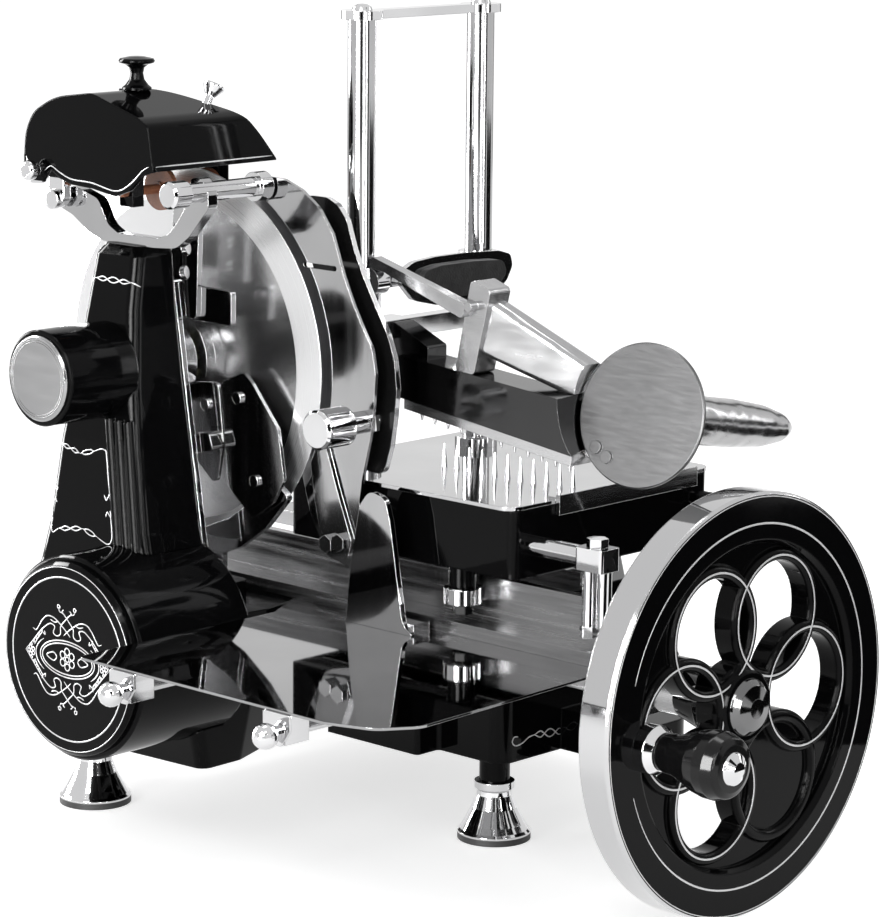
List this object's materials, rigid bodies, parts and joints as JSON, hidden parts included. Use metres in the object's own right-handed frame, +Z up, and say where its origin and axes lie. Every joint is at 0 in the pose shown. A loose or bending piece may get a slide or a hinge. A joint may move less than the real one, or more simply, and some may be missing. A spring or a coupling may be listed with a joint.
{
  "type": "hand crank meat slicer",
  "caption": "Hand cranked meat slicer: a spoked flywheel turns a round blade by a column chain drive beside a rolling carriage with a lifting press, under a tilting sharpener.",
  "frame": {"origin": "on the floor, at the centre of the bounding box's plan", "axes": "+X from the receiving tray to the carriage side, +Y from the flywheel to the back, +Z up"},
  "size_m": [0.651, 0.7624, 0.698],
  "materials": {
    "black_enamel": "deep gloss black enamel",
    "polished_chrome": "polished",
    "mirror_steel": "mirror polished stainless steel",
    "blade_steel": "ground",
    "satin_steel": "satin",
    "machine_steel": "turned",
    "bronze": "turned bronze",
    "abrasive": "red-brown abrasive",
    "black_grip": "polished black"
  },
  "bodies": {
    "frame": {"base_casting": "black_enamel", "feet": "polished_chrome", "column_housing": "black_enamel", "chain_cover": "polished_chrome", "gear_case": "black_enamel", "drum_cover": "black_enamel", "blade_shaft_housing": "black_enamel", "housing_cap": "polished_chrome", "drive_chain": "machine_steel", "flywheel_shaft_housing": "machine_steel", "bearings": "bronze", "receiving_tray": "mirror_steel", "tray_supports": "satin_steel", "frame_screws": "polished_chrome", "left_rail": "satin_steel", "right_rail": "satin_steel", "guard_stand": "mirror_steel", "guard_plate": "mirror_steel", "guard_tie_rod": "polished_chrome", "deflector_plate": "polished_chrome", "upper_arm": "polished_chrome", "lower_guard": "polished_chrome", "sharpener_fork": "polished_chrome"},
    "blade_unit": {"blade": "blade_steel", "blade_screws": "polished_chrome", "blade_shaft": "machine_steel", "blade_sprocket": "machine_steel"},
    "cross_drive": {"cross_shaft": "machine_steel"},
    "flywheel_unit": {"flywheel": "black_enamel", "flywheel_cap": "polished_chrome", "flywheel_shaft": "machine_steel", "handle_spindle": "polished_chrome"},
    "grip": {"handle_grip": "black_grip"},
    "gauge_knob_unit": {"gauge_knob": "polished_chrome"},
    "gauge": {"gauge_plate": "satin_steel"},
    "tie_knob": {"tie_rod_knob": "polished_chrome"},
    "hood": {"sharpener_hood": "black_enamel"},
    "left_stone": {"grinding_stone": "abrasive"},
    "right_stone": {"honing_stone": "abrasive"},
    "top_knob": {"hood_knob": "black_enamel"},
    "button": {"stone_button": "polished_chrome"},
    "carriage_unit": {"carriage": "black_enamel", "push_rod": "polished_chrome"},
    "front_wheels": {"front_wheelset": "machine_steel"},
    "rear_wheels": {"rear_wheelset": "machine_steel"},
    "guide": {"guide_roller": "machine_steel"},
    "screw": {"feed_screw": "polished_chrome"},
    "table": {"carriage_table": "mirror_steel", "table_spikes": "satin_steel", "press_rods": "polished_chrome", "rod_bridge": "polished_chrome"},
    "press": {"press_slide": "black_enamel", "press_bar": "black_enamel", "press_strip": "satin_steel", "press_link": "polished_chrome", "press_arm": "polished_chrome", "hand_guard": "satin_steel", "guard_handle": "polished_chrome", "lift_grip": "polished_chrome", "lift_grip_scale": "black_grip"}
  },
  "joints": [
    {"name": "flywheel_spin", "type": "hinge", "parent": "frame", "child": "flywheel_unit", "pos_m": [0.042, -0.27825, 0.17586], "axis": [0, 1, 0], "continuous": true},
    {"name": "grip_spin", "type": "hinge", "parent": "flywheel_unit", "child": "grip", "pos_m": [-0.0787, -0.33825, 0.16742], "axis": [0, 1, 0], "continuous": true},
    {"name": "cross_spin", "type": "hinge", "parent": "frame", "child": "cross_drive", "pos_m": [-0.0715, 0.1864, 0.17586], "axis": [1, 0, 0], "continuous": true},
    {"name": "blade_spin", "type": "hinge", "parent": "frame", "child": "blade_unit", "pos_m": [-0.0715, 0.22175, 0.4005], "axis": [1, 0, 0], "continuous": true},
    {"name": "gauge_knob_turn", "type": "hinge", "parent": "frame", "child": "gauge_knob_unit", "pos_m": [-0.0915, 0.02175, 0.3705], "axis": [-1, 0, 0], "range_deg": [0, 900]},
    {"name": "gauge_slide", "type": "slide", "parent": "frame", "child": "gauge", "axis": [-1, 0, 0], "range_m": [0, 0.00501]},
    {"name": "tie_knob_turn", "type": "hinge", "parent": "frame", "child": "tie_knob", "pos_m": [-0.1615, 0.13275, 0.5505], "axis": [1, 0, 0], "range_deg": [-180, 180]},
    {"name": "hood_tilt", "type": "hinge", "parent": "frame", "child": "hood", "pos_m": [-0.1355, 0.29575, 0.5315], "axis": [-1, 0, 0], "range_deg": [0, 70]},
    {"name": "left_stone_spin", "type": "hinge", "parent": "hood", "child": "left_stone", "pos_m": [-0.1015, 0.23675, 0.5405], "axis": [1, 0, 0], "continuous": true},
    {"name": "right_stone_spin", "type": "hinge", "parent": "hood", "child": "right_stone", "pos_m": [-0.0565, 0.20675, 0.5405], "axis": [1, 0, 0], "continuous": true},
    {"name": "hood_knob_turn", "type": "hinge", "parent": "hood", "child": "top_knob", "pos_m": [-0.1225, 0.22175, 0.6355], "axis": [0, 0, 1], "range_deg": [-180, 180]},
    {"name": "button_press", "type": "slide", "parent": "hood", "child": "button", "axis": [-0.5408, 0, -0.8412], "range_m": [0, 0.005], "stiffness_N_per_m": 400, "springref_m": -0.002},
    {"name": "carriage_slide", "type": "slide", "parent": "frame", "child": "carriage_unit", "axis": [0, 1, 0], "range_m": [0, 0.24]},
    {"name": "front_wheels_roll", "type": "hinge", "parent": "carriage_unit", "child": "front_wheels", "pos_m": [0.0785, -0.00325, 0.2315], "axis": [1, 0, 0], "continuous": true},
    {"name": "rear_wheels_roll", "type": "hinge", "parent": "carriage_unit", "child": "rear_wheels", "pos_m": [0.0785, 0.10675, 0.2315], "axis": [1, 0, 0], "continuous": true},
    {"name": "guide_roll", "type": "hinge", "parent": "carriage_unit", "child": "guide", "pos_m": [-0.0325, -0.06025, 0.2385], "axis": [0, 0, 1], "continuous": true},
    {"name": "feed_screw_turn", "type": "hinge", "parent": "carriage_unit", "child": "screw", "pos_m": [0.0785, 0.02575, 0.3005], "axis": [1, 0, 0], "range_deg": [0, 4330]},
    {"name": "table_slide", "type": "slide", "parent": "carriage_unit", "child": "table", "axis": [1, 0, 0], "range_m": [0, 0.12]},
    {"name": "press_lift", "type": "slide", "parent": "table", "child": "press", "axis": [0, 0, 1], "range_m": [-0.02, 0.185]}
  ],
  "couplings": [
    {"joint": "cross_spin", "follows": "flywheel_spin", "ratio": -2},
    {"joint": "blade_spin", "follows": "flywheel_spin", "ratio": -4},
    {"joint": "gauge_slide", "follows": "gauge_knob_turn", "m_per_rad": 0.00031831},
    {"joint": "front_wheels_roll", "follows": "carriage_slide", "rad_per_m": -78.74},
    {"joint": "rear_wheels_roll", "follows": "carriage_slide", "rad_per_m": -78.74},
    {"joint": "guide_roll", "follows": "carriage_slide", "rad_per_m": -64.516},
    {"joint": "feed_screw_turn", "follows": "table_slide", "rad_per_m": 628.32}
  ]
}
